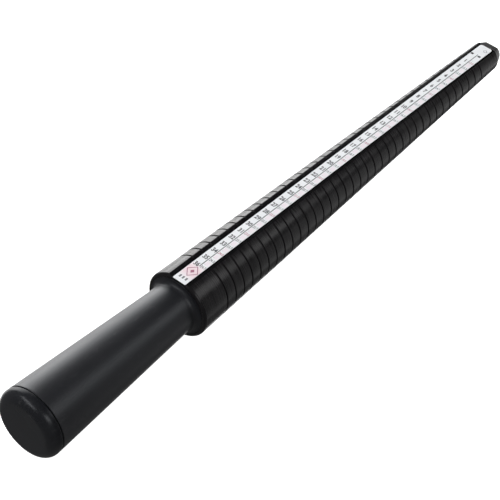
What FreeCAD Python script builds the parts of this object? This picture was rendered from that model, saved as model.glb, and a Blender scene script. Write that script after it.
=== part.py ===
"""Ring sizer stick: a long tapered measuring barrel on a flared handle with a push-in butt cap.

The stick lies along +Y, from the flat butt face at y = 0 to the small end of the barrel. The flat that
carries the printed scale faces +Z. The origin is the centre of the butt face. All sizes are in mm.
"""
import FreeCAD, Part
import os

import Sketcher

SHEET_NAME = "dims"

# Driving dimensions: (alias, value in mm, or a plain count where the comment says so).
DRIVING_DIMENSIONS = [
    # whole stick
    ("total_length", 266.8),
    ("shoulder_y", 73.1),
    # measuring barrel: its diameter at the groove of the smallest size, and its growth from size to size
    ("smallest_size_diameter", 13.5),
    ("size_step_diameter", 0.328),
    ("size_count", 36),               # count
    ("largest_groove_y", 85.7),
    ("groove_pitch", 4.69),
    ("groove_width", 0.62),
    ("groove_depth", 0.32),
    ("shoulder_round", 1.3),
    ("flat_end_chamfer", 0.15),
    ("tip_chamfer_length", 4.6),
    ("tip_chamfer_depth", 1.9),
    ("tip_facet_depth", 1.55),
    # flat along the top of the barrel, given by its height over the axis at the two end grooves
    ("flat_height_at_largest", 11.65),
    ("flat_height_at_smallest", 5.48),
    # cored inside of the barrel
    ("socket_radius", 8.6),
    ("socket_depth", 24.6),
    ("mouth_radius", 11.45),
    ("mouth_depth", 1.5),
    ("core_radius_large", 8.2),
    ("core_radius_small", 2.5),
    ("core_end_wall", 8.0),
    # handle
    ("butt_radius", 12.97),
    ("neck_radius", 9.19),
    ("neck_fillet", 2.0),
    ("collar_clearance", 0.05),
    ("neck_bore_radius", 6.6),
    ("handle_bore_radius", 9.6),
    ("spigot_end_gap", 0.3),
    ("spigot_chamfer", 0.6),
    # butt cap and the seat it pushes into
    ("cap_flange_length", 4.8),
    ("cap_round", 3.7),
    ("cap_rim_y", 3.8),
    ("seam_gap", 0.3),
    ("seam_round", 0.25),
    ("seat_radius", 10.4),
    ("seat_depth", 13.9),
    ("rib_clearance", 0.05),
    ("rib_height", 0.2),
    ("rib_width", 1.2),
    ("rib_end_inset", 1.2),
    ("rib_lead", 0.6),
    ("rib_count", 6),                 # count
    ("plug_length", 11.2),
    ("plug_wall", 1.6),
    ("plug_chamfer", 0.6),
    ("cap_face_wall", 2.2),
    # printed label, stuck on a little to one side of the flat's middle
    ("label_width", 5.5),
    ("label_offset", 0.33),
    ("label_thickness", 0.12),
    ("label_start_inset", 0.25),
    ("label_end_inset", 0.15),
    ("label_corner_butt", 0.3),
    ("label_corner_tip", 1.0),
]

# Sizes worked out from the driving ones: (alias, formula over the aliases above it).
DERIVED_DIMENSIONS = [
    ("cone_slope", "size_step_diameter / 2 / groove_pitch"),
    ("smallest_groove_y", "largest_groove_y + (size_count - 1) * groove_pitch"),
    ("largest_size_radius", "(smallest_size_diameter + (size_count - 1) * size_step_diameter) / 2"),
    ("shoulder_radius", "largest_size_radius + (largest_groove_y - shoulder_y) * cone_slope"),
    ("tip_chamfer_y", "total_length - tip_chamfer_length"),
    ("tip_chamfer_radius", "largest_size_radius - (tip_chamfer_y - largest_groove_y) * cone_slope"),
    ("flat_drop", "flat_height_at_largest - flat_height_at_smallest"),
    ("flat_slope", "flat_drop / (smallest_groove_y - largest_groove_y)"),
    ("flat_height_at_shoulder", "flat_height_at_largest + (largest_groove_y - shoulder_y) * flat_slope"),
    ("flat_height_at_tip", "flat_height_at_largest - (tip_chamfer_y - largest_groove_y) * flat_slope"),
    ("seat_end_y", "cap_flange_length + seam_gap + seat_depth"),
    ("spigot_end_y", "shoulder_y + socket_depth - spigot_end_gap"),
    ("collar_radius", "mouth_radius - collar_clearance"),
    ("handle_start_y", "cap_flange_length + seam_gap"),
    ("handle_slope", "(butt_radius - neck_radius) / (shoulder_y - cap_rim_y)"),
    ("flange_end_radius", "butt_radius - (cap_flange_length - cap_rim_y) * handle_slope"),
    ("handle_start_radius", "butt_radius - (handle_start_y - cap_rim_y) * handle_slope"),
    ("plug_end_y", "cap_flange_length + plug_length"),
    ("plug_radius", "seat_radius - rib_clearance - rib_height"),
    ("label_start_y", "shoulder_y + label_start_inset"),
    ("label_end_y", "tip_chamfer_y - label_end_inset"),
]


def fill_sheet(doc):
    """Write every dimension into the spreadsheet, with its word as the alias of its cell."""
    sheet = doc.addObject("Spreadsheet::Sheet", SHEET_NAME)
    row = 1
    for alias, value in DRIVING_DIMENSIONS:
        sheet.set("A%d" % row, alias)
        sheet.set("B%d" % row, repr(value))
        sheet.setAlias("B%d" % row, alias)
        row += 1
    for alias, formula in DERIVED_DIMENSIONS:
        sheet.set("A%d" % row, alias)
        sheet.set("B%d" % row, "=" + formula)
        sheet.setAlias("B%d" % row, alias)
        row += 1
    doc.recompute()
    return sheet


def from_sheet(formula):
    """Turn a formula over aliases into one that a document object can be bound to."""
    words = []
    for word in formula.replace("(", " ( ").replace(")", " ) ").split():
        is_alias = word[0].isalpha()
        words.append("<<%s>>.%s" % (SHEET_NAME, word) if is_alias else word)
    return " ".join(words)


def origin_plane(body, role):
    """One of the body's own origin planes, such as XY_Plane."""
    for feature in body.Origin.OriginFeatures:
        if feature.Role == role:
            return feature
    raise RuntimeError("no plane " + role)


def new_sketch(body, name, role):
    """An empty sketch on one of the body's origin planes."""
    sketch = body.newObject("Sketcher::SketchObject", name)
    sketch.AttachmentSupport = (origin_plane(body, role), [""])
    sketch.MapMode = "FlatFace"
    return sketch


def add_outline(sketch, corners):
    """Add a closed outline of straight lines to a sketch.

    corners is a list of (across, up) pairs of formulas over the sheet's aliases. Each corner is pinned by
    two dimensions bound to its formulas, or lies on the sketch's axis where its formula is 0.
    """
    places = []
    for across, up in corners:
        place_x = float(sketch.evalExpression(from_sheet(across)))
        place_y = float(sketch.evalExpression(from_sheet(up)))
        places.append(FreeCAD.Vector(place_x, place_y, 0))
    first = sketch.GeometryCount
    count = len(corners)
    lines = []
    for index in range(count):
        lines.append(Part.LineSegment(places[index], places[(index + 1) % count]))
    sketch.addGeometry(lines, False)
    constraints = []
    bound = []
    for index in range(count):
        line = first + index
        next_line = first + (index + 1) % count
        constraints.append(Sketcher.Constraint("Coincident", line, 2, next_line, 1))
    base = sketch.ConstraintCount + count
    for index, (across, up) in enumerate(corners):
        line = first + index
        place = places[index]
        measures = (("DistanceX", -2, place.x, across), ("DistanceY", -1, place.y, up))
        for kind, axis, size, formula in measures:
            if formula == "0":
                constraints.append(Sketcher.Constraint("PointOnObject", line, 1, axis))
            else:
                constraints.append(Sketcher.Constraint(kind, -1, 1, line, 1, size))
                bound.append((base, formula))
            base += 1
    sketch.addConstraint(constraints)
    for number, formula in bound:
        sketch.setExpression("Constraints[%d]" % number, from_sheet(formula))


def revolve(body, name, kind, sketch):
    """Turn a sketch right round the stick's axis, as added (Revolution) or removed (Groove) material."""
    feature = body.newObject("PartDesign::" + kind, name)
    feature.Profile = sketch
    feature.ReferenceAxis = (sketch, ["H_Axis"])
    feature.Angle = 360
    sketch.Visibility = False
    return feature


def edges_near(shape, test):
    """Names of the edges of a shape for which test(edge) is true."""
    names = []
    for index, edge in enumerate(shape.Edges):
        if test(edge):
            names.append("Edge%d" % (index + 1))
    return names


def is_ring(edge, y, radius):
    """Whether an edge is a full circle of this radius round the stick's axis at this y."""
    tolerance = 1e-3
    curve = edge.Curve
    if not isinstance(curve, Part.Circle):
        return False
    return abs(curve.Center.y - y) < tolerance and abs(curve.Radius - radius) < tolerance


def round_ring(doc, body, name, base, y, radius, size_alias):
    """Round off the circular edge of this radius at this y."""
    doc.recompute()
    names = edges_near(base.Shape, lambda edge: is_ring(edge, y, radius))
    if len(names) != 1:
        raise RuntimeError("%s: %d edges to round" % (name, len(names)))
    feature = body.newObject("PartDesign::Fillet", name)
    feature.Base = (base, names)
    feature.setExpression("Radius", from_sheet(size_alias))
    return feature


def must_shrink(doc, before, after):
    """Check that a cutting feature has really removed material."""
    doc.recompute()
    if not after.Shape.Volume < before.Shape.Volume:
        raise RuntimeError(after.Name + " cuts nothing")


def make_mandrel_barrel(doc, sheet):
    """The tapered measuring barrel: cone, cored inside, size grooves, flat for the scale, chamfered tip."""
    body = doc.addObject("PartDesign::Body", "mandrel_barrel")
    body.Label = "mandrel_barrel"
    profile = new_sketch(body, "barrel_profile", "YZ_Plane")
    add_outline(profile, [
        ("shoulder_y", "mouth_radius"),
        ("shoulder_y", "shoulder_radius"),
        ("tip_chamfer_y", "tip_chamfer_radius"),
        ("total_length", "tip_chamfer_radius - tip_chamfer_depth"),
        ("total_length", "0"),
        ("total_length - core_end_wall", "0"),
        ("total_length - core_end_wall", "core_radius_small"),
        ("shoulder_y + socket_depth", "core_radius_large"),
        ("shoulder_y + socket_depth", "socket_radius"),
        ("shoulder_y + mouth_depth", "socket_radius"),
        ("shoulder_y + mouth_depth", "mouth_radius"),
    ])
    cone = revolve(body, "barrel_cone", "Revolution", profile)
    shoulder = round_ring(doc, body, "barrel_shoulder_round", cone, sheet.shoulder_y,
                          sheet.shoulder_radius, "shoulder_round")

    size_count = int(sheet.size_count)
    for size_index in range(size_count):
        groove_name = "size_%d_groove" % (size_count - size_index)
        groove_sketch = new_sketch(body, groove_name + "_profile", "YZ_Plane")
        middle = "largest_groove_y + %d * groove_pitch" % size_index
        surface = "largest_size_radius - %d * size_step_diameter / 2" % size_index
        add_outline(groove_sketch, [
            (middle, surface + " - groove_depth"),
            (middle + " + groove_width", surface + " + groove_depth"),
            (middle + " - groove_width", surface + " + groove_depth"),
        ])
        grooves = revolve(body, groove_name, "Groove", groove_sketch)
    must_shrink(doc, shoulder, grooves)

    # The cut runs in past a small 45-degree chamfer at the shoulder, along the flat, down the tip's facet.
    flat_sketch = new_sketch(body, "scale_flat_side_view", "YZ_Plane")
    add_outline(flat_sketch, [
        ("shoulder_y - flat_end_chamfer", "flat_height_at_shoulder - flat_end_chamfer * 2"),
        ("shoulder_y + flat_end_chamfer", "flat_height_at_shoulder - flat_end_chamfer * flat_slope"),
        ("tip_chamfer_y", "flat_height_at_tip"),
        ("total_length", "flat_height_at_tip - tip_facet_depth"),
        ("total_length + tip_chamfer_depth", "flat_height_at_tip - tip_facet_depth"),
        ("total_length + tip_chamfer_depth", "butt_radius * 2"),
        ("shoulder_y - flat_end_chamfer", "butt_radius * 2"),
    ])
    flat = body.newObject("PartDesign::Pocket", "scale_flat")
    flat.Profile = flat_sketch
    flat.Type = "ThroughAll"
    flat.SideType = "Symmetric"
    flat_sketch.Visibility = False
    must_shrink(doc, grooves, flat)
    return body


def make_handle_grip(doc, sheet):
    """The flared handle: hollow, with a seat for the cap at its wide end, and a collar that closes the
    barrel's mouth and a spigot inside the barrel at its neck, which runs out into the collar in a fillet.
    """
    body = doc.addObject("PartDesign::Body", "handle_grip")
    body.Label = "handle_grip"
    profile = new_sketch(body, "handle_profile", "YZ_Plane")
    add_outline(profile, [
        ("handle_start_y", "seat_radius"),
        ("handle_start_y", "handle_start_radius"),
        ("shoulder_y", "neck_radius"),
        ("shoulder_y", "collar_radius"),
        ("shoulder_y + mouth_depth", "collar_radius"),
        ("shoulder_y + mouth_depth", "socket_radius"),
        ("spigot_end_y - spigot_chamfer", "socket_radius"),
        ("spigot_end_y", "socket_radius - spigot_chamfer"),
        ("spigot_end_y", "neck_bore_radius"),
        ("shoulder_y", "neck_bore_radius"),
        ("seat_end_y", "handle_bore_radius"),
        ("seat_end_y", "seat_radius"),
    ])
    shell = revolve(body, "handle_shell", "Revolution", profile)
    seam = round_ring(doc, body, "handle_seam_round", shell, sheet.handle_start_y,
                      sheet.handle_start_radius, "seam_round")
    round_ring(doc, body, "neck_fillet", seam, sheet.shoulder_y, sheet.neck_radius, "neck_fillet")
    return body


def make_butt_cap(doc, sheet):
    """The cap: a round-edged flange, level with the handle, on a hollow plug with six holding ribs."""
    body = doc.addObject("PartDesign::Body", "butt_cap")
    body.Label = "butt_cap"
    profile = new_sketch(body, "cap_profile", "YZ_Plane")
    add_outline(profile, [
        ("0", "0"),
        ("0", "butt_radius"),
        ("cap_rim_y", "butt_radius"),
        ("cap_flange_length", "flange_end_radius"),
        ("cap_flange_length", "plug_radius"),
        ("plug_end_y - plug_chamfer", "plug_radius"),
        ("plug_end_y", "plug_radius - plug_chamfer"),
        ("plug_end_y", "plug_radius - plug_wall"),
        ("cap_face_wall", "plug_radius - plug_wall"),
        ("cap_face_wall", "0"),
    ])
    solid = revolve(body, "cap_solid", "Revolution", profile)

    rib_sketch = new_sketch(body, "rib_side_view", "YZ_Plane")
    add_outline(rib_sketch, [
        ("cap_flange_length", "plug_radius - rib_height"),
        ("plug_end_y - rib_end_inset", "plug_radius - rib_height"),
        ("plug_end_y - rib_end_inset - rib_lead", "plug_radius + rib_height"),
        ("cap_flange_length", "plug_radius + rib_height"),
    ])
    rib = body.newObject("PartDesign::Pad", "rib")
    rib.Profile = rib_sketch
    rib.SideType = "Symmetric"
    rib.setExpression("Length", from_sheet("rib_width"))
    rib_sketch.Visibility = False
    ribs = body.newObject("PartDesign::PolarPattern", "ribs")
    ribs.Originals = [rib]
    ribs.Axis = (profile, ["H_Axis"])
    ribs.Angle = 360
    ribs.setExpression("Occurrences", from_sheet("rib_count"))
    body.Tip = ribs
    doc.recompute()
    if not ribs.Shape.Volume > rib.Shape.Volume > solid.Shape.Volume:
        raise RuntimeError("ribs add nothing")

    seam = round_ring(doc, body, "cap_seam_round", ribs, sheet.cap_flange_length,
                      sheet.flange_end_radius, "seam_round")
    round_ring(doc, body, "cap_face_round", seam, 0, sheet.butt_radius, "cap_round")
    return body


def round_label_end(doc, body, base, y, end):
    """Round the two upright corner edges of the label at one end, butt or tip, which lies at this y."""
    doc.recompute()
    tolerance = 1e-3

    def is_corner(edge):
        start, stop = edge.Vertexes[0].Point, edge.Vertexes[-1].Point
        upright = abs(start.x - stop.x) < tolerance and abs(start.y - stop.y) < tolerance
        return upright and abs(start.y - y) < tolerance

    rounded = body.newObject("PartDesign::Fillet", "label_corners_" + end)
    rounded.Base = (base, edges_near(base.Shape, is_corner))
    rounded.setExpression("Radius", from_sheet("label_corner_" + end))
    return rounded


def make_scale_label(doc, sheet):
    """The thin printed strip on the barrel's flat, drawn level and then laid along the sloping flat."""
    body = doc.addObject("PartDesign::Body", "scale_label")
    body.Label = "scale_label"
    outline = new_sketch(body, "label_outline", "XY_Plane")
    add_outline(outline, [
        ("label_offset - label_width / 2", "0"),
        ("label_offset + label_width / 2", "0"),
        ("label_offset + label_width / 2", "label_end_y - label_start_y"),
        ("label_offset - label_width / 2", "label_end_y - label_start_y"),
    ])
    strip = body.newObject("PartDesign::Pad", "label_strip")
    strip.Profile = outline
    strip.setExpression("Length", from_sheet("label_thickness"))
    outline.Visibility = False
    butt_corners = round_label_end(doc, body, strip, 0, "butt")
    round_label_end(doc, body, butt_corners, sheet.label_end_y - sheet.label_start_y, "tip")
    # A first tilt of one degree keeps the axis; the bound angle then replaces it.
    first_tilt = FreeCAD.Rotation(FreeCAD.Vector(-1, 0, 0), 1)
    body.Placement = FreeCAD.Placement(FreeCAD.Vector(0, 0, 0), first_tilt)
    start_height = "flat_height_at_largest + (largest_groove_y - label_start_y) * flat_slope"
    body.setExpression("Placement.Base.y", from_sheet("label_start_y"))
    body.setExpression("Placement.Base.z", from_sheet(start_height))
    body.setExpression("Placement.Rotation.Angle", "atan(" + from_sheet("flat_slope") + ")")
    body.setExpression("Placement.Rotation.Axis.x", "-1")
    return body


def check_document(doc, parts):
    """Stop if any object failed to build, or any sub-part is not one valid solid."""
    for item in doc.Objects:
        if "Invalid" in item.State or "Error" in item.State:
            raise RuntimeError("%s failed: %s" % (item.Name, item.State))
    for part in parts:
        if part.Shape.isNull() or not part.Shape.isValid():
            raise RuntimeError(part.Label + " has no valid shape")
        if len(part.Shape.Solids) != 1:
            raise RuntimeError(part.Label + " is not one solid")


def main():
    doc = FreeCAD.newDocument("ring_sizer_stick")
    sheet = fill_sheet(doc)
    parts = [
        make_mandrel_barrel(doc, sheet),
        make_handle_grip(doc, sheet),
        make_butt_cap(doc, sheet),
        make_scale_label(doc, sheet),
    ]
    doc.recompute()
    check_document(doc, parts)
    os.makedirs("parts", exist_ok=True)
    for part in parts:
        part.Shape.exportStep(os.path.join("parts", part.Label + ".step"))
        box = part.Shape.BoundBox
        print("%s: volume %.1f mm3, y %.2f to %.2f, z %.2f to %.2f" % (
            part.Label, part.Shape.Volume, box.YMin, box.YMax, box.ZMin, box.ZMax))


main()
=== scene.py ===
"""Ring sizer stick: the looks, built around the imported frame.

The stick lies along +Y from its butt cap at y = 0 to the small end, with the scale's flat facing +Z.
Lengths are in metres, in the frame's axes. Only ring diameters and the camera's lens are in mm.
"""
import math

import bmesh
import bpy
from mathutils import Matrix, Vector


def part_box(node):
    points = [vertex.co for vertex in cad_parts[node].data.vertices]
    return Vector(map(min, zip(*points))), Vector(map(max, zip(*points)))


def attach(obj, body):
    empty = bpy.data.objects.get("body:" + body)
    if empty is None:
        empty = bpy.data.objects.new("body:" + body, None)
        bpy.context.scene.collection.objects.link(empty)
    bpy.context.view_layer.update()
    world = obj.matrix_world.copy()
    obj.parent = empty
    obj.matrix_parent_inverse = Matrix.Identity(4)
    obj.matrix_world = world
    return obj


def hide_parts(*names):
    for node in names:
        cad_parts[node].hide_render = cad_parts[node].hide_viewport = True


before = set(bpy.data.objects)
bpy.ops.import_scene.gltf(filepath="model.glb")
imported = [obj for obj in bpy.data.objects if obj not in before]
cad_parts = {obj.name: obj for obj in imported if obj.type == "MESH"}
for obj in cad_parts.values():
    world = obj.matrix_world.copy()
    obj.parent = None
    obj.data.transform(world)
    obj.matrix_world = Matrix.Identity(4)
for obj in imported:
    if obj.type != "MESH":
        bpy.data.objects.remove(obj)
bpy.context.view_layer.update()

MM = 0.001

# ---- places and sizes, from the frame where it gives them ----
barrel_low, barrel_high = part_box("mandrel_barrel")
handle_low, handle_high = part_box("handle_grip")
cap_low, cap_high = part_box("butt_cap")
label_low, label_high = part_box("scale_label")

SHOULDER_Y = barrel_low.y
TIP_Y = barrel_high.y
HANDLE_Y = handle_low.y
SPIGOT_END_Y = handle_high.y
PLUG_END_Y = cap_high.y
BUTT_RADIUS = cap_high.x

# ring sizes: size 36 is next to the handle and size 1 next to the tip
SIZE_COUNT = 36
SMALLEST_DIAMETER = 13.5
SIZE_STEP = 0.328
GROOVE_PITCH = 4.69 * MM
LARGEST_GROOVE_Y = SHOULDER_Y + 12.6 * MM
GROOVE_HALF_WIDTH = 0.31 * MM
GROOVE_DEPTH = 0.32 * MM
# one side of a groove: (offset, depth), as shares of its half width and of its depth
GROOVE_SIDE = ((0.0, 0.92), (0.16, 0.84), (0.80, 0.20), (0.95, 0.07), (1.15, 0.0), (1.45, 0.0), (1.8, 0.0))
CONE_SLOPE = SIZE_STEP * MM / 2 / GROOVE_PITCH
LARGEST_RADIUS = (SMALLEST_DIAMETER + (SIZE_COUNT - 1) * SIZE_STEP) * MM / 2
SHOULDER_RADIUS = LARGEST_RADIUS + (LARGEST_GROOVE_Y - SHOULDER_Y) * CONE_SLOPE

# flat for the scale
FLAT_HEIGHT_AT_LARGEST = 11.65 * MM
FLAT_HEIGHT_AT_SMALLEST = 5.48 * MM
FLAT_SLOPE = (FLAT_HEIGHT_AT_LARGEST - FLAT_HEIGHT_AT_SMALLEST) / ((SIZE_COUNT - 1) * GROOVE_PITCH)
FLAT_HEIGHT_AT_SHOULDER = FLAT_HEIGHT_AT_LARGEST + (LARGEST_GROOVE_Y - SHOULDER_Y) * FLAT_SLOPE
FLAT_EDGE_ROUND = 0.14 * MM
FLAT_END_CHAMFER = 0.15 * MM

# shoulder and tip
SHOULDER_ROUND = 1.3 * MM
TIP_CHAMFER_LENGTH = 4.6 * MM
TIP_CHAMFER_DEPTH = 1.9 * MM
TIP_FACET_DEPTH = 1.55 * MM
TIP_EDGE_ROUND = 0.22 * MM
# rings at the edge where the chamfer starts: (offset, drop), as shares of TIP_EDGE_ROUND
TIP_EDGE_RINGS = ((-6.0, 0.0), (-2.0, 0.0), (-1.0, 0.0), (-0.5, 0.03125), (0.5, 0.03125), (1.0, 0.0))

# inside of the barrel
MOUTH_RADIUS = 11.45 * MM
MOUTH_DEPTH = 1.5 * MM
MOUTH_LIP = 0.08 * MM
SOCKET_RADIUS = 8.6 * MM
SOCKET_DEPTH = 24.6 * MM
CORE_RADIUS_LARGE = 8.2 * MM
CORE_RADIUS_SMALL = 2.5 * MM
CORE_END_WALL = 8.0 * MM

# handle
NECK_RADIUS = 9.19 * MM
NECK_FILLET = 2.0 * MM
COLLAR_RADIUS = 11.4 * MM
COLLAR_LIP = 0.05 * MM
NECK_BORE_RADIUS = 6.6 * MM
HANDLE_BORE_RADIUS = 9.6 * MM
SPIGOT_RADIUS = 8.58 * MM
SPIGOT_CHAMFER = 0.6 * MM
SEAM_ROUND = 0.25 * MM
SEAT_RADIUS = 10.4 * MM
SEAT_DEPTH = 13.9 * MM
SEAT_LIP = 0.15 * MM

# butt cap
CAP_FLANGE_LENGTH = 4.8 * MM
CAP_RIM_Y = 3.8 * MM
CAP_ROUND = 3.7 * MM
CAP_DULL_START_Y = 1.9 * MM
# a land on the cap closes its seam with the handle to a shallow groove, so that no light shines through
SEAM_DEPTH = 0.7 * MM
SEAM_CLEARANCE = 0.02 * MM
CAP_FACE_WALL = 2.2 * MM
PLUG_RADIUS = 10.15 * MM
PLUG_WALL = 1.6 * MM
PLUG_CHAMFER = 0.6 * MM
PLUG_LIP = 0.15 * MM
PLUG_ROOT_WIDTH = 0.3 * MM
RIB_HEIGHT = 0.2 * MM
RIB_WIDTH = 1.2 * MM
RIB_COUNT = 6
RIB_END_INSET = 1.2 * MM
RIB_LEAD = 0.6 * MM
RIB_ROOT_LENGTH = 0.2 * MM
RIB_EDGE_SHARE = 0.15

# meshes: points round a ring, steps along an arc or a line, and shares where extra rings lie
ARC_POINTS = 120
CHORD_POINTS = 4
CORNER_POINTS = 4
HIGHEST_FLAT_SHARE = 0.9996
RING_POINTS = 144
SHOULDER_STEPS = 16
TIP_ROUND_STEPS = 4
SEAM_STEPS = 5
FILLET_STEPS = 14
TAPER_STEPS = 24
CAP_RIM_STEPS = 18
BEFORE_GROOVE_SHARES = (-0.45, -0.25)
AFTER_GROOVE_SHARE = 0.25
TIP_CHAMFER_SHARES = (0.5, 0.8)
TIP_END_SHARES = (0.9, 0.45)
CAP_FACE_SHARES = (0.3, 0.6, 0.9)
SHARP_ANGLE = math.radians(32)


# ---- mesh helpers ----
def new_piece(name, bm, body, material):
    """Turn a finished bmesh into a piece that rides on a body and takes its finish from a slot."""
    bmesh.ops.recalc_face_normals(bm, faces=bm.faces)
    mesh = bpy.data.meshes.new(name)
    bm.to_mesh(mesh)
    bm.free()
    piece = bpy.data.objects.new(name, mesh)
    bpy.context.scene.collection.objects.link(piece)
    mesh.materials.append(material)
    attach(piece, body)
    return piece


def shade_smooth(piece):
    """Smooth shading, with edges that turn by more than SHARP_ANGLE left sharp."""
    for polygon in piece.data.polygons:
        polygon.use_smooth = True
    piece.data.set_sharp_from_angle(angle=SHARP_ANGLE)


def loft(bm, rings, close_loop=False):
    """Join rings of equal point counts into a skin. Rings of one point are the centres of closed ends."""
    made = []
    for ring in rings:
        made.append([bm.verts.new(point) for point in ring])
    pairs = list(zip(made, made[1:]))
    if close_loop:
        pairs.append((made[-1], made[0]))
    for first, second in pairs:
        if len(first) == 1 or len(second) == 1:
            centre = first[0] if len(first) == 1 else second[0]
            rim = second if len(first) == 1 else first
            for index in range(len(rim)):
                bm.faces.new((rim[index], rim[(index + 1) % len(rim)], centre))
            continue
        count = len(first)
        for index in range(count):
            after = (index + 1) % count
            bm.faces.new((first[index], first[after], second[after], second[index]))


def arc_profile(centre_y, centre_r, radius, start, stop, steps):
    """(y, r) points along an arc in the half plane of a turned profile, angles in degrees."""
    points = []
    for step in range(steps + 1):
        angle = math.radians(start + (stop - start) * step / steps)
        points.append((centre_y + radius * math.cos(angle), centre_r + radius * math.sin(angle)))
    return points


def straight(start, stop, steps):
    """(y, r) points along a straight line, both ends included."""
    points = []
    for step in range(steps + 1):
        share = step / steps
        points.append((start[0] + (stop[0] - start[0]) * share, start[1] + (stop[1] - start[1]) * share))
    return points


def turned_ring(y, radius, angles, radius_change=None):
    """One ring round the stick's axis; angles run from +Z towards +X."""
    ring = []
    for angle in angles:
        here = radius + (radius_change(angle) if radius_change else 0.0)
        ring.append(Vector((here * math.sin(angle), y, here * math.cos(angle))))
    return ring


# ---- barrel ----
def groove_y(size):
    """Where the groove of a ring size lies along the stick."""
    return LARGEST_GROOVE_Y + (SIZE_COUNT - size) * GROOVE_PITCH


def barrel_radius(y):
    """Radius of the measuring cone, or of the chamfer past its end."""
    chamfer_y = TIP_Y - TIP_CHAMFER_LENGTH
    cone = SHOULDER_RADIUS - (min(y, chamfer_y) - SHOULDER_Y) * CONE_SLOPE
    return cone - max(0.0, y - chamfer_y) * TIP_CHAMFER_DEPTH / TIP_CHAMFER_LENGTH


def flat_height(y):
    """Height of the scale's flat over the axis, or of the facet past its end."""
    chamfer_y = TIP_Y - TIP_CHAMFER_LENGTH
    flat = FLAT_HEIGHT_AT_SHOULDER - (min(y, chamfer_y) - SHOULDER_Y) * FLAT_SLOPE
    return flat - max(0.0, y - chamfer_y) * TIP_FACET_DEPTH / TIP_CHAMFER_LENGTH


def barrel_section(y, radius, height):
    """The barrel's outline at y: a circle cut by the flat, with slightly rounded corners.

    Where the flat lies outside the circle, a very narrow one is left, so that all rings have equal counts.
    """
    half_angle = math.acos(min(height / radius, HIGHEST_FLAT_SHARE))
    half_width = radius * math.sin(half_angle)
    height = radius * math.cos(half_angle)
    corner_angle = FLAT_EDGE_ROUND / radius
    right = []
    for step in range(CHORD_POINTS):
        right.append(((half_width - FLAT_EDGE_ROUND) * step / (CHORD_POINTS - 1), height))
    corner = (half_width, height)
    before = (half_width - FLAT_EDGE_ROUND, height)
    after_angle = half_angle + corner_angle
    after = (radius * math.sin(after_angle), radius * math.cos(after_angle))
    for step in range(1, CORNER_POINTS):
        t = step / CORNER_POINTS
        blend = list(zip(((1 - t) ** 2, 2 * t * (1 - t), t * t), (before, corner, after)))
        x = sum(share * point[0] for share, point in blend)
        z = sum(share * point[1] for share, point in blend)
        right.append((x, z))
    sweep = 2 * (math.pi - after_angle)
    outline = list(right)
    for step in range(ARC_POINTS + 1):
        angle = after_angle + sweep * step / ARC_POINTS
        outline.append((radius * math.sin(angle), radius * math.cos(angle)))
    for x, z in reversed(right[1:]):
        outline.append((-x, z))
    return [Vector((x, y, z)) for x, z in outline]


def outer_ring(y, inset=0.0, flat_inset=0.0):
    """The barrel's outline at y, drawn in from its cone and from its flat."""
    return barrel_section(y, barrel_radius(y) - inset, flat_height(y) - flat_inset)


def shoulder_rings():
    """Rings of the barrel's rounded end, and one past it."""
    rings = []
    for step in range(SHOULDER_STEPS + 1):
        angle = math.pi / 2 * step / SHOULDER_STEPS
        y = SHOULDER_Y + SHOULDER_ROUND * (1 - math.cos(angle))
        share = 1 - math.sin(angle)
        rings.append(outer_ring(y, SHOULDER_ROUND * share, FLAT_END_CHAMFER * share))
    rings.append(outer_ring(SHOULDER_Y + 2 * SHOULDER_ROUND))
    return rings


def groove_rings(middle):
    """Rings of one groove, lips and bottom slightly rounded, and of the plain cone at both sides of it."""
    one_side = [(offset * GROOVE_HALF_WIDTH, depth * GROOVE_DEPTH) for offset, depth in GROOVE_SIDE]
    other_side = [(-offset, depth) for offset, depth in reversed(one_side[1:])]
    rings = [outer_ring(middle + share * GROOVE_PITCH) for share in BEFORE_GROOVE_SHARES]
    for offset, depth in other_side + one_side:
        rings.append(outer_ring(middle + offset, depth))
    rings.append(outer_ring(middle + AFTER_GROOVE_SHARE * GROOVE_PITCH))
    return rings


def tip_rings():
    """Rings of the tip's chamfer and facet, of its rounded edge and of its flat end."""
    chamfer_y = TIP_Y - TIP_CHAMFER_LENGTH
    rings = []
    for offset, drop in TIP_EDGE_RINGS:
        inset = drop * TIP_EDGE_ROUND
        rings.append(outer_ring(chamfer_y + offset * TIP_EDGE_ROUND, inset, inset))
    for share in TIP_CHAMFER_SHARES:
        rings.append(outer_ring(chamfer_y + share * TIP_CHAMFER_LENGTH))
    for step in range(TIP_ROUND_STEPS + 1):
        angle = math.pi / 2 * step / TIP_ROUND_STEPS
        y = TIP_Y - TIP_EDGE_ROUND * (1 - math.sin(angle))
        inset = TIP_EDGE_ROUND * (1 - math.cos(angle))
        rings.append(outer_ring(y, inset, inset))
    end = outer_ring(TIP_Y, TIP_EDGE_ROUND, TIP_EDGE_ROUND)
    for share in TIP_END_SHARES:
        rings.append([Vector((point.x * share, TIP_Y, point.z * share)) for point in end])
    return rings


def inner_rings(angles):
    """Rings of the barrel's inside, from its mouth over the handle's socket to the end of the core."""
    rings = []
    for y, radius in (
        (SHOULDER_Y, MOUTH_RADIUS + MOUTH_LIP),
        (SHOULDER_Y + MOUTH_LIP, MOUTH_RADIUS),
        (SHOULDER_Y + MOUTH_DEPTH, MOUTH_RADIUS),
        (SHOULDER_Y + MOUTH_DEPTH, SOCKET_RADIUS),
        (SHOULDER_Y + SOCKET_DEPTH, SOCKET_RADIUS),
        (SHOULDER_Y + SOCKET_DEPTH, CORE_RADIUS_LARGE),
        (TIP_Y - CORE_END_WALL, CORE_RADIUS_SMALL),
    ):
        rings.append(turned_ring(y, radius, angles))
    return rings


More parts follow.
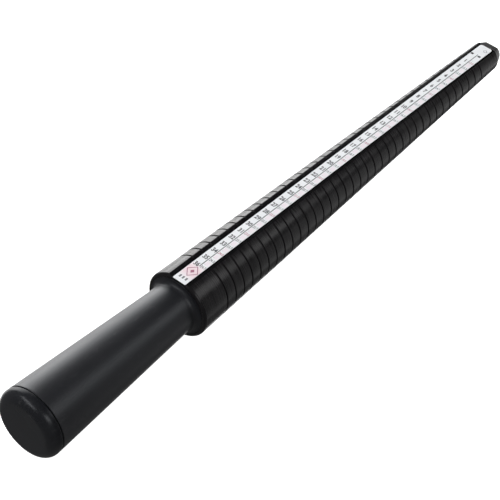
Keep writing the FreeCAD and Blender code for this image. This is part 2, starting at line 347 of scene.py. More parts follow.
def barrel_rings():
    """All rings of the barrel, from the end of its core out through the mouth and over the outside."""
    outer = shoulder_rings()
    for size in range(SIZE_COUNT, 0, -1):
        outer += groove_rings(groove_y(size))
    outer += tip_rings()
    angles = [math.atan2(point.x, point.z) for point in outer[0]]
    core_end = [Vector((0, TIP_Y - CORE_END_WALL, 0))]
    tip_centre = [Vector((0, TIP_Y, 0))]
    return [core_end] + list(reversed(inner_rings(angles))) + outer + [tip_centre]


def make_barrel(material):
    """The measuring barrel, one closed mesh with its grooves, flat, chamfered tip and cored inside."""
    bm = bmesh.new()
    loft(bm, barrel_rings())
    piece = new_piece("barrel_body", bm, "stick", material)
    shade_smooth(piece)
    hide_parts("mandrel_barrel")


# ---- handle ----
def handle_radius(y):
    """Radius of the flared handle, from the butt cap's rim to the neck."""
    share = (y - CAP_RIM_Y) / (SHOULDER_Y - CAP_RIM_Y)
    return BUTT_RADIUS + (NECK_RADIUS - BUTT_RADIUS) * share


def make_handle(material):
    """The hollow handle: seat for the cap at its wide end, spigot into the barrel at its neck."""
    angles = [2 * math.pi * index / RING_POINTS for index in range(RING_POINTS)]
    start_radius = handle_radius(HANDLE_Y)
    profile = [(HANDLE_Y + SEAT_LIP, SEAT_RADIUS), (HANDLE_Y, SEAT_RADIUS + SEAT_LIP)]
    profile += arc_profile(HANDLE_Y + SEAM_ROUND, start_radius - SEAM_ROUND, SEAM_ROUND, 180, 90, SEAM_STEPS)
    taper_angle = math.atan((BUTT_RADIUS - NECK_RADIUS) / (SHOULDER_Y - CAP_RIM_Y))
    fillet_y = SHOULDER_Y - NECK_FILLET
    fillet_r = handle_radius(fillet_y) + NECK_FILLET / math.cos(taper_angle)
    fillet = arc_profile(fillet_y, fillet_r, NECK_FILLET, -90 - math.degrees(taper_angle), 0, FILLET_STEPS)
    taper_y = HANDLE_Y + 2 * SEAM_ROUND
    profile += straight((taper_y, handle_radius(taper_y)), fillet[0], TAPER_STEPS)
    profile += fillet[1:]
    profile += [(SHOULDER_Y, COLLAR_RADIUS - COLLAR_LIP), (SHOULDER_Y + COLLAR_LIP, COLLAR_RADIUS)]
    spigot_start = SHOULDER_Y + MOUTH_DEPTH
    seat_end = HANDLE_Y + SEAT_DEPTH
    profile += [
        (spigot_start, COLLAR_RADIUS),
        (spigot_start, SPIGOT_RADIUS),
        (SPIGOT_END_Y - SPIGOT_CHAMFER, SPIGOT_RADIUS),
        (SPIGOT_END_Y, SPIGOT_RADIUS - SPIGOT_CHAMFER),
        (SPIGOT_END_Y, NECK_BORE_RADIUS),
        (SHOULDER_Y, NECK_BORE_RADIUS),
        (seat_end, HANDLE_BORE_RADIUS),
        (seat_end, SEAT_RADIUS),
    ]
    bm = bmesh.new()
    loft(bm, [turned_ring(y, radius, angles) for y, radius in profile], close_loop=True)
    piece = new_piece("handle_body", bm, "stick", material)
    shade_smooth(piece)
    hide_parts("handle_grip")


# ---- butt cap ----
def rib_angles():
    """Angles of the cap's rings, with close pairs at both sides of every rib."""
    half = RIB_WIDTH / 2 / PLUG_RADIUS
    edge = RIB_EDGE_SHARE * half
    angles = []
    between = RING_POINTS // RIB_COUNT
    for rib in range(RIB_COUNT):
        middle = 2 * math.pi * rib / RIB_COUNT
        angles += [middle - half - edge, middle - half + edge, middle, middle + half - edge]
        start = middle + half + edge
        stop = middle + 2 * math.pi / RIB_COUNT - half - edge
        for step in range(between):
            angles.append(start + (stop - start) * step / between)
    return angles


def rib_rise(angle):
    """How far the plug's surface stands out at this angle: a rib, or nothing."""
    spacing = 2 * math.pi / RIB_COUNT
    away = abs((angle + spacing / 2) % spacing - spacing / 2)
    return RIB_HEIGHT if away * PLUG_RADIUS < RIB_WIDTH / 2 else 0.0


def make_cap(material):
    """The push-in butt cap: flat face, rounded rim, a land behind the seam, and a hollow ribbed plug."""
    angles = rib_angles()
    flange_radius = handle_radius(CAP_FLANGE_LENGTH)
    face_radius = BUTT_RADIUS - CAP_ROUND
    smooth_profile = [(0.0, share * face_radius) for share in CAP_FACE_SHARES]
    smooth_profile += arc_profile(CAP_ROUND, face_radius, CAP_ROUND, 180, 90, CAP_RIM_STEPS)
    smooth_profile += arc_profile(CAP_FLANGE_LENGTH - SEAM_ROUND, flange_radius - SEAM_ROUND,
                                  SEAM_ROUND, 90, 0, SEAM_STEPS)
    land_y = HANDLE_Y - SEAM_CLEARANCE
    smooth_profile += [
        (CAP_FLANGE_LENGTH, flange_radius - SEAM_DEPTH),
        (land_y, flange_radius - SEAM_DEPTH),
        (land_y, PLUG_RADIUS + PLUG_ROOT_WIDTH),
    ]
    rings = [[Vector((0, 0, 0))]]
    rings += [turned_ring(y, radius, angles) for y, radius in smooth_profile]
    rib_stop = PLUG_END_Y - RIB_END_INSET
    for y in (land_y, land_y + RIB_ROOT_LENGTH, rib_stop - RIB_LEAD):
        rings.append(turned_ring(y, PLUG_RADIUS, angles, rib_rise))
    for y, radius in (
        (rib_stop, PLUG_RADIUS),
        (PLUG_END_Y - PLUG_CHAMFER, PLUG_RADIUS),
        (PLUG_END_Y, PLUG_RADIUS - PLUG_CHAMFER),
        (PLUG_END_Y, PLUG_RADIUS - PLUG_WALL + PLUG_LIP),
        (PLUG_END_Y - PLUG_LIP, PLUG_RADIUS - PLUG_WALL),
        (CAP_FACE_WALL, PLUG_RADIUS - PLUG_WALL),
    ):
        rings.append(turned_ring(y, radius, angles))
    rings.append([Vector((0, CAP_FACE_WALL, 0))])
    bm = bmesh.new()
    loft(bm, rings)
    piece = new_piece("cap_body", bm, "cap", material)
    shade_smooth(piece)
    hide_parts("butt_cap")


# ---- materials ----
# the darkest and the lightest colour of each surface
BARREL_COLOURS = ((0.0050, 0.0045, 0.0052), (0.0113, 0.0104, 0.0117))
SATIN_COLOURS = ((0.0085, 0.0090, 0.0110), (0.0125, 0.0130, 0.0155))
FILM_COLOURS = ((0.80, 0.82, 0.845), (0.85, 0.865, 0.885))
TINT_COLOURS = ((0.82, 0.66, 0.70), (0.84, 0.70, 0.74))
INK_COLOURS = {
    "black_ink": ((0.03, 0.03, 0.035), (0.085, 0.09, 0.10)),
    "grey_ink": ((0.12, 0.12, 0.13), (0.22, 0.22, 0.24)),
    "pale_grey_ink": ((0.25, 0.26, 0.29), (0.34, 0.35, 0.39)),
    "rose_ink": ((0.32, 0.11, 0.18), (0.42, 0.16, 0.24)),
    "rose_grey_ink": ((0.10, 0.085, 0.105), (0.16, 0.14, 0.17)),
    "pink_ink": ((0.42, 0.15, 0.22), (0.52, 0.20, 0.29)),
    "cell_ink": ((0.83, 0.775, 0.815), (0.86, 0.81, 0.845)),
}
# what the flat's painted shade, the rubbed wisps and the tint's ends are mixed towards
FLAT_PAINTED_SHADE = (0.0015, 0.0015, 0.0018)
RUBBED_GREY = (0.06, 0.06, 0.062)
TINT_END_WHITE = (0.82, 0.83, 0.85)
# the tint of the satin plastic's reflections
SATIN_SHINE = (0.93, 0.955, 1.0, 1.0)

# noise cells a metre along each axis, and the heights of bumps
GRAIN_CELLS = (5200.0, 5200.0, 5200.0)
INK_CELLS = (3800.0, 3800.0, 3800.0)
GRAIN_HEIGHT = 0.0015 * MM
TURNED_HEIGHT = 0.010 * MM
PEEL_HEIGHT = 0.008 * MM
LABEL_GRAIN_HEIGHT = 0.002 * MM
# how far below the flat its mask still reaches
FLAT_MASK_DEPTH = 0.04 * MM


def node(tree, kind, **settings):
    """Add a shader node; settings are its own properties."""
    made = tree.nodes.new(kind)
    for name, value in settings.items():
        setattr(made, name, value)
    return made


def new_material(name):
    """An empty node material with its principled shader."""
    material = bpy.data.materials.new(name)
    material.use_nodes = True
    tree = material.node_tree
    shader = tree.nodes["Principled BSDF"]
    return material, tree, shader


def noise(tree, scale, detail=3.0, roughness=0.55, distortion=0.0, seed=0.0):
    """Noise over object coordinates, with its own scale along each axis, in cells a metre."""
    coordinates = node(tree, "ShaderNodeTexCoord")
    mapping = node(tree, "ShaderNodeMapping")
    mapping.inputs["Scale"].default_value = scale
    mapping.inputs["Location"].default_value = (seed, seed, seed)
    texture = node(tree, "ShaderNodeTexNoise")
    texture.inputs["Scale"].default_value = 1.0
    texture.inputs["Detail"].default_value = detail
    texture.inputs["Roughness"].default_value = roughness
    texture.inputs["Distortion"].default_value = distortion
    tree.links.new(coordinates.outputs["Object"], mapping.inputs["Vector"])
    tree.links.new(mapping.outputs["Vector"], texture.inputs["Vector"])
    return texture.outputs["Fac"]


def map_range(tree, value, low, high, to_low, to_high):
    """Map a value from one range to another, clamped."""
    made = node(tree, "ShaderNodeMapRange")
    made.inputs["From Min"].default_value = low
    made.inputs["From Max"].default_value = high
    made.inputs["To Min"].default_value = to_low
    made.inputs["To Max"].default_value = to_high
    tree.links.new(value, made.inputs["Value"])
    return made.outputs["Result"]


def math_node(tree, operation, first, second):
    """One arithmetic step; either side may be a socket or a number."""
    made = node(tree, "ShaderNodeMath", operation=operation)
    for index, side in enumerate((first, second)):
        if isinstance(side, (int, float)):
            made.inputs[index].default_value = side
        else:
            tree.links.new(side, made.inputs[index])
    return made.outputs["Value"]


def mix_colours(tree, share, first, second):
    """Mix two colours by a share; either colour may be a socket or a tuple."""
    made = node(tree, "ShaderNodeMix", data_type="RGBA")
    tree.links.new(share, made.inputs["Factor"])
    for socket, side in ((made.inputs[6], first), (made.inputs[7], second)):
        if isinstance(side, tuple):
            socket.default_value = side + (1.0,)
        else:
            tree.links.new(side, socket)
    return made.outputs[2]


def bump(tree, height, distance, under=None):
    """A bump of this height in metres, on top of another bump's normal if one is given."""
    made = node(tree, "ShaderNodeBump")
    made.inputs["Strength"].default_value = 1.0
    made.inputs["Distance"].default_value = distance
    tree.links.new(height, made.inputs["Height"])
    if under is not None:
        tree.links.new(under, made.inputs["Normal"])
    return made.outputs["Normal"]


def places(tree):
    """The shaded point's place in the frame's axes, as sockets named X, Y and Z."""
    coordinates = node(tree, "ShaderNodeTexCoord")
    parts = node(tree, "ShaderNodeSeparateXYZ")
    tree.links.new(coordinates.outputs["Object"], parts.inputs["Vector"])
    return parts.outputs


def barrel_masks(tree):
    """Two masks for the barrel's surface: 1 inside its grooves, and 1 on the flat and the tip's facet."""
    place = places(tree)
    past_first = math_node(tree, "SUBTRACT", place["Y"], LARGEST_GROOVE_Y)
    steps = math_node(tree, "DIVIDE", past_first, GROOVE_PITCH)
    share = math_node(tree, "FRACT", math_node(tree, "ADD", steps, 0.5), 0.0)
    away = math_node(tree, "ABSOLUTE", math_node(tree, "SUBTRACT", share, 0.5), 0.0)
    limit = GROOVE_HALF_WIDTH / GROOVE_PITCH
    inside = map_range(tree, away, 0.95 * limit, 1.3 * limit, 1.0, 0.0)
    inside = math_node(tree, "MULTIPLY", inside, math_node(tree, "GREATER_THAN", steps, -0.5))
    inside = math_node(tree, "MULTIPLY", inside, math_node(tree, "LESS_THAN", steps, SIZE_COUNT - 0.5))
    drop = math_node(tree, "MULTIPLY", past_first, FLAT_SLOPE)
    over_flat = math_node(tree, "ADD", place["Z"], drop)
    on_flat = math_node(tree, "GREATER_THAN", over_flat, FLAT_HEIGHT_AT_LARGEST - FLAT_MASK_DEPTH)
    grooves = math_node(tree, "MULTIPLY", inside, math_node(tree, "SUBTRACT", 1.0, on_flat))
    return grooves, on_flat


def barrel_plastic():
    """Black plastic with fine turned rings, faint grain, rubbed patches and dull grooves; the flat is
    darkened by painted shade.
    """
    material, tree, shader = new_material("barrel_plastic")
    rings = noise(tree, (45.0, 2600.0, 45.0), detail=5.0, roughness=0.7)
    broad_rings = noise(tree, (30.0, 520.0, 30.0), detail=2.0, seed=3.1)
    patches = noise(tree, (120.0, 60.0, 120.0), detail=4.0, seed=7.7)
    grain = noise(tree, GRAIN_CELLS, detail=2.0, seed=1.3)
    streak = math_node(tree, "MULTIPLY", rings, 0.65)
    streak = math_node(tree, "ADD", streak, math_node(tree, "MULTIPLY", broad_rings, 0.35))
    colour = mix_colours(tree, map_range(tree, streak, 0.35, 0.65, 0.0, 1.0), *BARREL_COLOURS)
    grooves, on_flat = barrel_masks(tree)
    # painted shade: the flat's colour is mixed most of the way towards near black
    colour = mix_colours(tree, math_node(tree, "MULTIPLY", on_flat, 0.8), colour, FLAT_PAINTED_SHADE)
    tree.links.new(colour, shader.inputs["Base Color"])
    rough = map_range(tree, streak, 0.3, 0.7, 0.20, 0.34)
    rough = math_node(tree, "ADD", rough, map_range(tree, patches, 0.4, 0.7, -0.03, 0.05))
    rough = math_node(tree, "ADD", rough, math_node(tree, "MULTIPLY", grooves, 0.25))
    rough = math_node(tree, "SUBTRACT", rough, math_node(tree, "MULTIPLY", on_flat, 0.12))
    tree.links.new(rough, shader.inputs["Roughness"])
    shine = map_range(tree, streak, 0.38, 0.62, 0.36, 0.54)
    shine = math_node(tree, "MULTIPLY", shine, map_range(tree, grooves, 0.0, 1.0, 1.0, 0.25))
    shine = math_node(tree, "MULTIPLY", shine, map_range(tree, on_flat, 0.0, 1.0, 1.0, 0.5))
    tree.links.new(shine, shader.inputs["Specular IOR Level"])
    normal = bump(tree, rings, TURNED_HEIGHT)
    normal = bump(tree, grain, GRAIN_HEIGHT, under=normal)
    tree.links.new(normal, shader.inputs["Normal"])
    shader.inputs["IOR"].default_value = 1.40
    return material


def smooth_black_plastic(name, rough_low, rough_high, seed):
    """Satin black moulded plastic: soft mottling, a faint orange peel and a few rubbed wisps."""
    material, tree, shader = new_material(name)
    mottle = noise(tree, (70.0, 35.0, 70.0), detail=4.0, seed=seed)
    wisps = noise(tree, (260.0, 70.0, 260.0), detail=6.0, roughness=0.75, distortion=1.5, seed=seed + 2.0)
    peel = noise(tree, (900.0, 900.0, 900.0), detail=2.0, seed=seed + 4.0)
    grain = noise(tree, GRAIN_CELLS, detail=2.0, seed=seed + 5.0)
    rubbed = map_range(tree, wisps, 0.58, 0.74, 0.0, 1.0)
    colour = mix_colours(tree, map_range(tree, mottle, 0.3, 0.7, 0.0, 1.0), *SATIN_COLOURS)
    colour = mix_colours(tree, math_node(tree, "MULTIPLY", rubbed, 0.4), colour, RUBBED_GREY)
    tree.links.new(colour, shader.inputs["Base Color"])
    rough = map_range(tree, mottle, 0.3, 0.7, rough_low, rough_high)
    rough = math_node(tree, "ADD", rough, math_node(tree, "MULTIPLY", rubbed, 0.12))
    tree.links.new(rough, shader.inputs["Roughness"])
    normal = bump(tree, peel, PEEL_HEIGHT)
    normal = bump(tree, grain, GRAIN_HEIGHT, under=normal)
    tree.links.new(normal, shader.inputs["Normal"])
    shader.inputs["IOR"].default_value = 1.5
    shader.inputs["Specular Tint"].default_value = SATIN_SHINE
    return material


def cap_plastic():
    """The handle's plastic, a little glossier, going dull on the edge beside the seam."""
    material = smooth_black_plastic("cap_plastic", rough_low=0.26, rough_high=0.34, seed=9.0)
    tree = material.node_tree
    shine = map_range(tree, places(tree)["Y"], CAP_DULL_START_Y, CAP_RIM_Y, 0.46, 0.14)
    tree.links.new(shine, tree.nodes["Principled BSDF"].inputs["Specular IOR Level"])
    return material


def label_film():
    """White printed film: a slightly bluish white with soft fibres and a satin face."""
    material, tree, shader = new_material("label_film")
    cloud = noise(tree, (160.0, 80.0, 160.0), detail=4.0, seed=2.2)
    fibres = noise(tree, (2500.0, 1200.0, 2500.0), detail=3.0, seed=4.4)
    colour = mix_colours(tree, map_range(tree, cloud, 0.3, 0.7, 0.0, 1.0), *FILM_COLOURS)
    tree.links.new(colour, shader.inputs["Base Color"])
    tree.links.new(map_range(tree, fibres, 0.3, 0.7, 0.34, 0.46), shader.inputs["Roughness"])
    tree.links.new(bump(tree, fibres, LABEL_GRAIN_HEIGHT), shader.inputs["Normal"])
    return material


def ink(name):
    """Printing ink: slightly uneven coverage and a dull face."""
    material, tree, shader = new_material(name)
    cover = noise(tree, INK_CELLS, detail=3.0, seed=6.1)
    colour = mix_colours(tree, map_range(tree, cover, 0.35, 0.7, 0.0, 1.0), *INK_COLOURS[name])
    tree.links.new(colour, shader.inputs["Base Color"])
    tree.links.new(map_range(tree, cover, 0.3, 0.7, 0.42, 0.55), shader.inputs["Roughness"])
    tree.links.new(bump(tree, cover, LABEL_GRAIN_HEIGHT), shader.inputs["Normal"])
    return material


def tint_ink():
    """The pale tint round the header's mark, which fades into the film's white at both ends."""
    material, tree, shader = new_material("tint_ink")
    cover = noise(tree, INK_CELLS, detail=3.0, seed=8.8)
    past_mark = math_node(tree, "SUBTRACT", places(tree)["Y"], HEADER_MARK_Y)
    away = math_node(tree, "ABSOLUTE", past_mark, 0.0)
    strength = map_range(tree, away, TINT_FULL_HALF_LENGTH, TINT_HALF_LENGTH, 1.0, 0.0)
    tint = mix_colours(tree, map_range(tree, cover, 0.35, 0.7, 0.0, 1.0), *TINT_COLOURS)
    tree.links.new(mix_colours(tree, strength, TINT_END_WHITE, tint), shader.inputs["Base Color"])
    tree.links.new(map_range(tree, cover, 0.3, 0.7, 0.36, 0.48), shader.inputs["Roughness"])
    tree.links.new(bump(tree, cover, LABEL_GRAIN_HEIGHT), shader.inputs["Normal"])
    return material


# ---- printing on the label ----
PRINT_THICKNESS = 0.015 * MM
LABEL_THICKNESS = 0.12 * MM
FLAT_ANGLE = math.atan(FLAT_SLOPE)
FLAT_ALONG = Vector((0.0, math.cos(FLAT_ANGLE), -math.sin(FLAT_ANGLE)))
FLAT_NORMAL = Vector((0.0, math.sin(FLAT_ANGLE), math.cos(FLAT_ANGLE)))

LABEL_WIDTH = label_high.x - label_low.x
MERGE_DISTANCE = 0.0008 * MM

# columns of the scale, as shares of the label's width from its left edge
NUMBER_SHARE = 0.29
LINE_SHARE = 0.545
DIAMETER_SHARE = 0.79

NUMBER_BEFORE_GROOVE = 1.65 * MM
NUMBER_HEIGHT = 2.1 * MM
NUMBER_SQUEEZE = 0.77
NUMBER_WEIGHT = 0.03
TEXT_CURVE_STEPS = 3
TEXT_HALF_DEPTH = 0.5
LINE_WIDTH = 0.3 * MM
LINE_BEFORE_LARGEST = 2.0 * MM
LINE_PAST_SMALLEST = 5.2 * MM
TICK_WIDTH = 0.09 * MM
LONG_TICK = 0.7 * MM
SHORT_TICK = 0.4 * MM
TICKS_PER_SIZE = 2
DIAMETER_HEIGHT = 1.25 * MM
DIAMETER_SQUEEZE = 0.68
DIAMETER_WEIGHT = 0.015
SMALLEST_PRINTED_DIAMETER = 13.0
PRINTED_STEP = 1.0 / 3.0
WHOLE_TOLERANCE = 0.01
CELL_AFTER_GROOVE = 0.75 * MM
CELL_LENGTH = 2.3 * MM
CELL_WIDTH = 1.9 * MM

# plain marks at the two ends of the scale
HEADER_BARS_Y = SHOULDER_Y + 2.6 * MM
HEADER_BAR_LENGTH = 1.35 * MM
HEADER_BAR_SHARES = ((0.19, 0.31), (0.43, 0.55), (0.67, 0.79))
HEADER_MARK_Y = SHOULDER_Y + 7.0 * MM
HEADER_MARK_SHARE = 0.53
HEADER_MARK_HALF_LENGTH = 3.05 * MM
HEADER_MARK_HALF_WIDTH = 2.4 * MM
HEADER_MARK_LINE = 0.24 * MM
HEADER_CORE_SHARE = 0.33
TINT_INSET = 0.1 * MM
TINT_HALF_LENGTH = 4.6 * MM
TINT_FULL_HALF_LENGTH = 1.6 * MM
END_MARKS_Y = TIP_Y - 12.6 * MM
END_MARK_LENGTH = 1.1 * MM
END_MARK_SHARES = ((0.03, 0.25), (0.64, 0.86))
END_SIGN_Y = TIP_Y - 7.9 * MM
END_SIGN_SHARE = 0.72
END_SIGN_HALF = 1.0 * MM
END_SIGN_LINE = 0.25 * MM


def across_label(share):
    """The place across the stick at a share of the label's width from its left edge."""
    return label_low.x + LABEL_WIDTH * share


def on_label(x, y, lift):
    """A point this far above the label's face, at a place across the label and along the stick."""
    along = (y - SHOULDER_Y) / FLAT_ALONG.y
    start = Vector((x, SHOULDER_Y, FLAT_HEIGHT_AT_SHOULDER))
    return start + FLAT_ALONG * along + FLAT_NORMAL * (LABEL_THICKNESS + lift)


def add_outline_print(bm, corners):
    """A flat printed shape with these (x, y) corners on the label, as a thin closed solid."""
    low = [bm.verts.new(on_label(x, y, 0.0)) for x, y in corners]
    high = [bm.verts.new(on_label(x, y, PRINT_THICKNESS)) for x, y in corners]
    count = len(corners)
    bm.faces.new(high)
    bm.faces.new(list(reversed(low)))
    for index in range(count):
        after = (index + 1) % count
        bm.faces.new((low[index], low[after], high[after], high[index]))


def add_bar(bm, x0, x1, y0, y1):
    """A printed bar between two places across the label and two along it."""
    add_outline_print(bm, [(x0, y0), (x1, y0), (x1, y1), (x0, y1)])


def add_diamond_ring(bm, centre_x, centre_y, half_width, half_length, line):
    """A printed hollow diamond: four straight strips between its outer and its inner corners."""
    outer = [(0.0, -1.0), (1.0, 0.0), (0.0, 1.0), (-1.0, 0.0)]
    share = 1.0 - line * math.sqrt(2) / min(half_width, half_length)
    for index in range(4):
        first = outer[index]
        second = outer[(index + 1) % 4]
        inner_first = (first[0] * share, first[1] * share)
        inner_second = (second[0] * share, second[1] * share)
        corners = [first, second, inner_second, inner_first]
        add_outline_print(bm, [(centre_x + x * half_width, centre_y + y * half_length) for x, y in corners])


def add_diamond(bm, centre_x, centre_y, half_width, half_length):
    """A printed solid diamond."""
    corners = [(0.0, -half_length), (half_width, 0.0), (0.0, half_length), (-half_width, 0.0)]
    add_outline_print(bm, [(centre_x + x, centre_y + y) for x, y in corners])


def add_text(bm, words, centre_x, centre_y, height, squeeze, weight):
    """Printed characters of this height round a centre on the label, narrowed to a share of their width.

    The text's front and back, at both sides of z = 0, become the printing's top and bottom.
    """
    curve = bpy.data.curves.new("print_text", "FONT")
    curve.body = words
    curve.extrude = TEXT_HALF_DEPTH
    curve.offset = weight
    curve.resolution_u = TEXT_CURVE_STEPS
    text = bpy.data.objects.new("print_text", curve)
    bpy.context.scene.collection.objects.link(text)
    bpy.context.view_layer.update()
    mesh = bpy.data.meshes.new_from_object(text.evaluated_get(bpy.context.evaluated_depsgraph_get()))
    xs = [vertex.co.x for vertex in mesh.vertices]
    ys = [vertex.co.y for vertex in mesh.vertices]
    middle_x = (min(xs) + max(xs)) / 2
    middle_y = (min(ys) + max(ys)) / 2
    scale = height / (max(ys) - min(ys))
    for vertex in mesh.vertices:
        x = centre_x + (vertex.co.x - middle_x) * scale * squeeze
        y = centre_y + (vertex.co.y - middle_y) * scale
        vertex.co = on_label(x, y, PRINT_THICKNESS if vertex.co.z > 0 else 0.0)
    bm.from_mesh(mesh)
    bpy.data.objects.remove(text)
    bpy.data.curves.remove(curve)
    bpy.data.meshes.remove(mesh)


def lift_print(bm):
    """Move printing up by its own thickness, so that it lies on the ink below it."""
    for vertex in bm.verts:
        vertex.co += FLAT_NORMAL * PRINT_THICKNESS


def print_piece(name, bm, material):
    """Finish one ink's printing as a piece of its own on the stick."""
    bmesh.ops.remove_doubles(bm, verts=bm.verts, dist=MERGE_DISTANCE)
    new_piece(name, bm, "stick", material)


def printed_diameter(size):
    """The diameter printed beside a ring size, in mm."""
    return SMALLEST_PRINTED_DIAMETER + (size - 1) * PRINTED_STEP


def is_whole(diameter):
    """Whether a diameter is a whole number of millimetres."""
    return abs(diameter - round(diameter)) < WHOLE_TOLERANCE


def make_size_numbers(material):
    """The black size numbers of the left column."""
    bm = bmesh.new()
    for size in range(1, SIZE_COUNT + 1):
        add_text(bm, str(size), across_label(NUMBER_SHARE), groove_y(size) - NUMBER_BEFORE_GROOVE,
                 NUMBER_HEIGHT, NUMBER_SQUEEZE, NUMBER_WEIGHT)
    lift_print(bm)
    print_piece("size_numbers", bm, material)


def make_scale_line(material):
    """The line along the label."""
    bm = bmesh.new()
    start = groove_y(SIZE_COUNT) - LINE_BEFORE_LARGEST
    stop = groove_y(1) + LINE_PAST_SMALLEST
    middle = across_label(LINE_SHARE)
    add_bar(bm, middle - LINE_WIDTH / 2, middle + LINE_WIDTH / 2, start, stop)
    lift_print(bm)
    print_piece("scale_line", bm, material)


def make_ticks(material):
    """Fine ticks beside the line, a long one at each groove and a short one half way."""
    bm = bmesh.new()
    edge = across_label(LINE_SHARE) + LINE_WIDTH
    for size in range(1, SIZE_COUNT + 1):
        for tick in range(TICKS_PER_SIZE):
            y = groove_y(size) - tick * GROOVE_PITCH / TICKS_PER_SIZE
            length = LONG_TICK if tick == 0 else SHORT_TICK
            add_bar(bm, edge, edge + length, y - TICK_WIDTH / 2, y + TICK_WIDTH / 2)
    print_piece("scale_ticks", bm, material)


def make_diameters(name, material, chosen):
    """The small inside diameters of the right column, for the sizes that chosen picks."""
    bm = bmesh.new()
    for size in range(1, SIZE_COUNT + 1):
        diameter = printed_diameter(size)
        if not chosen(diameter):
            continue
        add_text(bm, "%.1f" % diameter, across_label(DIAMETER_SHARE), groove_y(size) - NUMBER_BEFORE_GROOVE,
                 DIAMETER_HEIGHT, DIAMETER_SQUEEZE, DIAMETER_WEIGHT)
    lift_print(bm)
    print_piece(name, bm, material)


def make_header(pale_material, line_material, dark_material):
    """Plain marks at the label's butt end: a pale tint, a hollow diamond with a solid one, three bars."""
    middle_x = across_label(HEADER_MARK_SHARE)
    tint = bmesh.new()
    add_bar(tint, label_low.x + TINT_INSET, label_high.x - TINT_INSET,
            HEADER_MARK_Y - TINT_HALF_LENGTH, HEADER_MARK_Y + TINT_HALF_LENGTH)
    print_piece("header_tint", tint, pale_material)
    mark = bmesh.new()
    add_diamond_ring(mark, middle_x, HEADER_MARK_Y, HEADER_MARK_HALF_WIDTH, HEADER_MARK_HALF_LENGTH,
                     HEADER_MARK_LINE)
    add_diamond(mark, middle_x, HEADER_MARK_Y, HEADER_MARK_HALF_WIDTH * HEADER_CORE_SHARE,
                HEADER_MARK_HALF_LENGTH * HEADER_CORE_SHARE)
    lift_print(mark)
    print_piece("header_mark", mark, line_material)
    bars = bmesh.new()
    for start, stop in HEADER_BAR_SHARES:
        add_bar(bars, across_label(start), across_label(stop),
                HEADER_BARS_Y - HEADER_BAR_LENGTH / 2, HEADER_BARS_Y + HEADER_BAR_LENGTH / 2)
    lift_print(bars)
    print_piece("header_bars", bars, dark_material)


def make_cells(material):
    """Pale cells of the right column, one between each two diameters."""
    bm = bmesh.new()
    middle = across_label(DIAMETER_SHARE)
    for size in range(1, SIZE_COUNT):
        start = groove_y(size) - GROOVE_PITCH + CELL_AFTER_GROOVE - CELL_LENGTH / 2
        add_bar(bm, middle - CELL_WIDTH / 2, middle + CELL_WIDTH / 2, start, start + CELL_LENGTH)
    print_piece("scale_cells", bm, material)


def make_end_marks(dark_material, pale_material):
    """Plain marks at the tip end of the label: two short bars and a pale hollow diamond."""
    bars = bmesh.new()
    for start, stop in END_MARK_SHARES:
        add_bar(bars, across_label(start), across_label(stop),
                END_MARKS_Y - END_MARK_LENGTH / 2, END_MARKS_Y + END_MARK_LENGTH / 2)
    print_piece("end_bars", bars, dark_material)
    sign = bmesh.new()
    add_diamond_ring(sign, across_label(END_SIGN_SHARE), END_SIGN_Y, END_SIGN_HALF, END_SIGN_HALF,
                     END_SIGN_LINE)
    print_piece("end_sign", sign, pale_material)


# ---- studio ----
CAMERA_AZIMUTH = math.radians(35.05)
CAMERA_ELEVATION = math.radians(44.90)
CAMERA_ROLL = math.radians(6.184)
CAMERA_DISTANCE = 619.69 * MM
CAMERA_LENS = 123.89
SENSOR_WIDTH = 36.0
CAMERA_CLIP_START = 10 * MM
AIM_FROM_MIDDLE = Vector((-4.1354, -14.3859, -9.4286)) * MM

FLOOR_RADIUS = 5.0
FLOOR_SHARES = (0.25, 0.5, 0.75)
FLOOR_BEND = 1.0
FLOOR_BEND_STEPS = 8
WALL_HEIGHT = 5.0

PANEL_DISTANCE = 0.9
FAR_PANEL_DISTANCE = 1.5
WORLD_STRENGTH = 0.15


def stick_middle():
    """The point on the axis half way along the stick."""
    return Vector((0.0, (cap_low.y + TIP_Y) / 2, 0.0))


def make_camera():
    """The camera at the photograph's viewing angle."""
    forward = Vector((-math.sin(CAMERA_AZIMUTH) * math.cos(CAMERA_ELEVATION),
                      math.cos(CAMERA_AZIMUTH) * math.cos(CAMERA_ELEVATION),
                      -math.sin(CAMERA_ELEVATION)))
    level_right = Vector((math.cos(CAMERA_AZIMUTH), math.sin(CAMERA_AZIMUTH), 0.0))
    level_up = level_right.cross(forward)
    right = level_right * math.cos(CAMERA_ROLL) + level_up * math.sin(CAMERA_ROLL)
    up = right.cross(forward)
    place = stick_middle() + AIM_FROM_MIDDLE - forward * CAMERA_DISTANCE
    data = bpy.data.cameras.new("camera")
    data.lens = CAMERA_LENS
    data.sensor_width = SENSOR_WIDTH
    data.clip_start = CAMERA_CLIP_START
    camera = bpy.data.objects.new("camera", data)
    bpy.context.scene.collection.objects.link(camera)
    turn = Matrix((right, up, -forward)).transposed()
    camera.matrix_world = Matrix.Translation(place) @ turn.to_4x4()
    bpy.context.scene.camera = camera


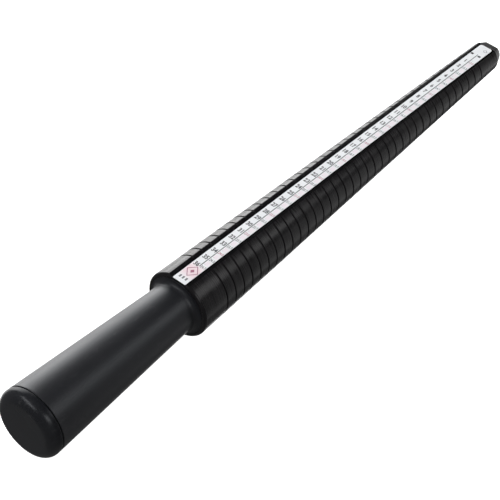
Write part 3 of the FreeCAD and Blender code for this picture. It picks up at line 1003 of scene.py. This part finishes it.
def make_floor():
    """A white floor at the height that the stick lies on, turned up into a wall all round.

    Only the camera sees it, so it casts no shadow and adds nothing to the stick's light or reflections.
    """
    height = cap_low.z
    profile = [(FLOOR_RADIUS * share, height) for share in FLOOR_SHARES]
    for step in range(FLOOR_BEND_STEPS + 1):
        angle = math.pi / 2 * step / FLOOR_BEND_STEPS
        radius = FLOOR_RADIUS + FLOOR_BEND * math.sin(angle)
        profile.append((radius, height + FLOOR_BEND * (1 - math.cos(angle))))
    profile.append((FLOOR_RADIUS + FLOOR_BEND, height + WALL_HEIGHT))
    rings = [[Vector((0.0, 0.0, height))]]
    for radius, z in profile:
        ring = []
        for index in range(RING_POINTS):
            angle = 2 * math.pi * index / RING_POINTS
            ring.append(Vector((radius * math.cos(angle), radius * math.sin(angle), z)))
        rings.append(ring)
    bm = bmesh.new()
    loft(bm, rings)
    mesh = bpy.data.meshes.new("floor")
    bm.to_mesh(mesh)
    bm.free()
    floor = bpy.data.objects.new("floor", mesh)
    bpy.context.scene.collection.objects.link(floor)
    material, _, shader = new_material("floor_white")
    shader.inputs["Base Color"].default_value = (0.9, 0.9, 0.9, 1.0)
    shader.inputs["Roughness"].default_value = 0.9
    shader.inputs["Emission Color"].default_value = (1.0, 1.0, 1.0, 1.0)
    shader.inputs["Emission Strength"].default_value = 1.0
    mesh.materials.append(material)
    floor.visible_glossy = False
    floor.visible_diffuse = False
    floor.visible_shadow = False


def across_stick(angle):
    """The direction that the camera sees reflected in the stick's side, by its turn from +Z towards +X."""
    along = math.cos(CAMERA_AZIMUTH) * math.cos(CAMERA_ELEVATION)
    across = math.sqrt(1 - along * along)
    turn = math.radians(angle)
    return Vector((across * math.sin(turn), along, across * math.cos(turn)))


def add_panel(name, target_y, direction, distance, width, height, radiance, in_reflections):
    """A soft panel light seen in a direction from a place on the stick, facing it, of this radiance."""
    data = bpy.data.lights.new(name, "AREA")
    data.shape = "RECTANGLE"
    data.size = width
    data.size_y = height
    data.energy = radiance * width * height * math.pi
    panel = bpy.data.objects.new(name, data)
    bpy.context.scene.collection.objects.link(panel)
    towards = Vector(direction).normalized()
    panel.location = Vector((0.0, target_y, 0.0)) + towards * distance
    panel.rotation_euler = towards.to_track_quat("Z", "Y").to_euler()
    panel.visible_camera = False
    panel.visible_glossy = in_reflections


def make_lights():
    """Soft panels in a dim, even world. The stick's sides reflect the first five into the camera."""
    middle_y = stick_middle().y
    handle_y = (HANDLE_Y + SHOULDER_Y) / 2
    before_handle_y = handle_y - 80 * MM
    past_tip_y = TIP_Y * 1.7
    # name, place aimed at, direction, distance, width, height, radiance, whether reflections show it
    for panel in (
        ("left_box", middle_y, across_stick(-73), PANEL_DISTANCE, 0.85, 0.62, 3.9, True),
        ("left_sweep", middle_y, across_stick(-122), PANEL_DISTANCE, 1.1, 1.05, 1.65, True),
        ("right_strip", handle_y, across_stick(46), PANEL_DISTANCE, 0.3, 0.36, 2.1, True),
        ("right_fill", past_tip_y, across_stick(112), PANEL_DISTANCE, 0.5, 1.0, 0.5, True),
        ("low_right", before_handle_y, across_stick(200), PANEL_DISTANCE, 0.45, 0.14, 1.25, True),
        ("side_box", middle_y, (0.76, -0.2, 0.62), 1.2, 0.7, 0.4, 2.5, True),
        ("end_fill", TIP_Y, (0.3, 0.9, -0.3), 0.6, 0.35, 0.35, 0.7, True),
        ("key_box", middle_y, (-0.45, -0.5, 0.85), FAR_PANEL_DISTANCE, 1.2, 1.2, 3.55, False),
        ("rim_strip", HANDLE_Y, (-0.38, -0.58, 0.72), FAR_PANEL_DISTANCE, 1.3, 0.22, 4.0, True),
    ):
        add_panel(*panel)
    world = bpy.data.worlds.new("studio")
    world.use_nodes = True
    background = world.node_tree.nodes["Background"]
    background.inputs["Color"].default_value = (1.0, 1.0, 1.0, 1.0)
    background.inputs["Strength"].default_value = WORLD_STRENGTH
    bpy.context.scene.world = world


# ---- the scene ----
bpy.context.scene.view_settings.view_transform = "Standard"
make_camera()
make_floor()
make_lights()

make_barrel(barrel_plastic())
make_handle(smooth_black_plastic("handle_plastic", rough_low=0.36, rough_high=0.44, seed=0.0))
make_cap(cap_plastic())

film = label_film()
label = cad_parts["scale_label"]
label.data.materials.clear()
label.data.materials.append(film)

inks = {name: ink(name) for name in INK_COLOURS}
make_size_numbers(inks["black_ink"])
make_scale_line(inks["black_ink"])
make_ticks(inks["pale_grey_ink"])
make_diameters("whole_diameters", inks["pink_ink"], is_whole)
make_diameters("part_diameters", inks["rose_grey_ink"], lambda diameter: not is_whole(diameter))
make_cells(inks["cell_ink"])
make_header(tint_ink(), inks["rose_ink"], inks["grey_ink"])
make_end_marks(inks["black_ink"], inks["pale_grey_ink"])
